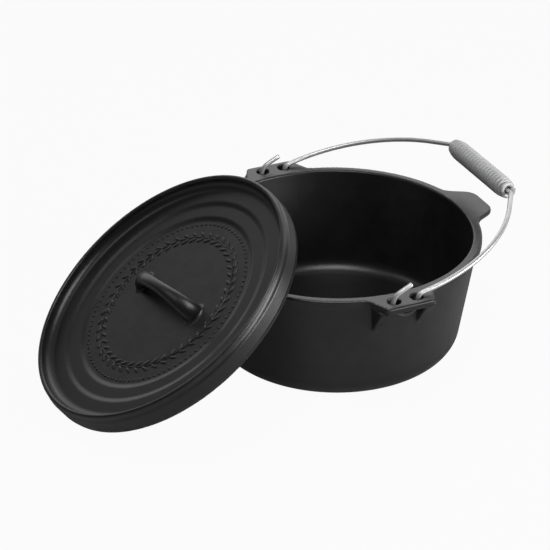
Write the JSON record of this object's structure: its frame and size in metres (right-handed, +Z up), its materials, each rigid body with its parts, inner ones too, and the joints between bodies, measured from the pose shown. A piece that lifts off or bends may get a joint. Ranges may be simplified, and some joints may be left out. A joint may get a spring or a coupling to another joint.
{
  "type": "camp dutch oven",
  "caption": "Flat-based cast-iron camp oven with a leaning rimmed lid, bridge lid handle, side ears, lifting lug and a wire bail with a coil grip, for cooking over coals.",
  "frame": {"origin": "middle of the pot's flat base, on the ground", "axes": "+Z up along the pot's axis, +X towards the lifting lug and away from the leaning lid, Y along the bail's pivot line through both ears"},
  "size_m": [0.4519, 0.3068, 0.1784],
  "materials": {
    "iron": "seasoned, satin",
    "plated_wire": "bright plated",
    "coil_wire": "satin plated"
  },
  "bodies": {
    "pot": {"pot": "iron"},
    "lid": {"lid": "iron"},
    "bail": {"bail": "plated_wire"},
    "grip": {"grip": "coil_wire"}
  },
  "joints": [
    {"name": "bail_swing", "type": "hinge", "parent": "pot", "child": "bail", "pos_m": [0, 0, 0.1095], "axis": [0, -1, 0], "range_deg": [0, 80]},
    {"name": "grip_spin", "type": "hinge", "parent": "bail", "child": "grip", "pos_m": [0.15102, 0, 0.1468], "axis": [0, 1, 0], "continuous": true},
    {"name": "lid_lift", "type": "slide", "parent": "pot", "child": "lid", "axis": [0, 0, 1], "range_m": [0, 0.3]}
  ]
}
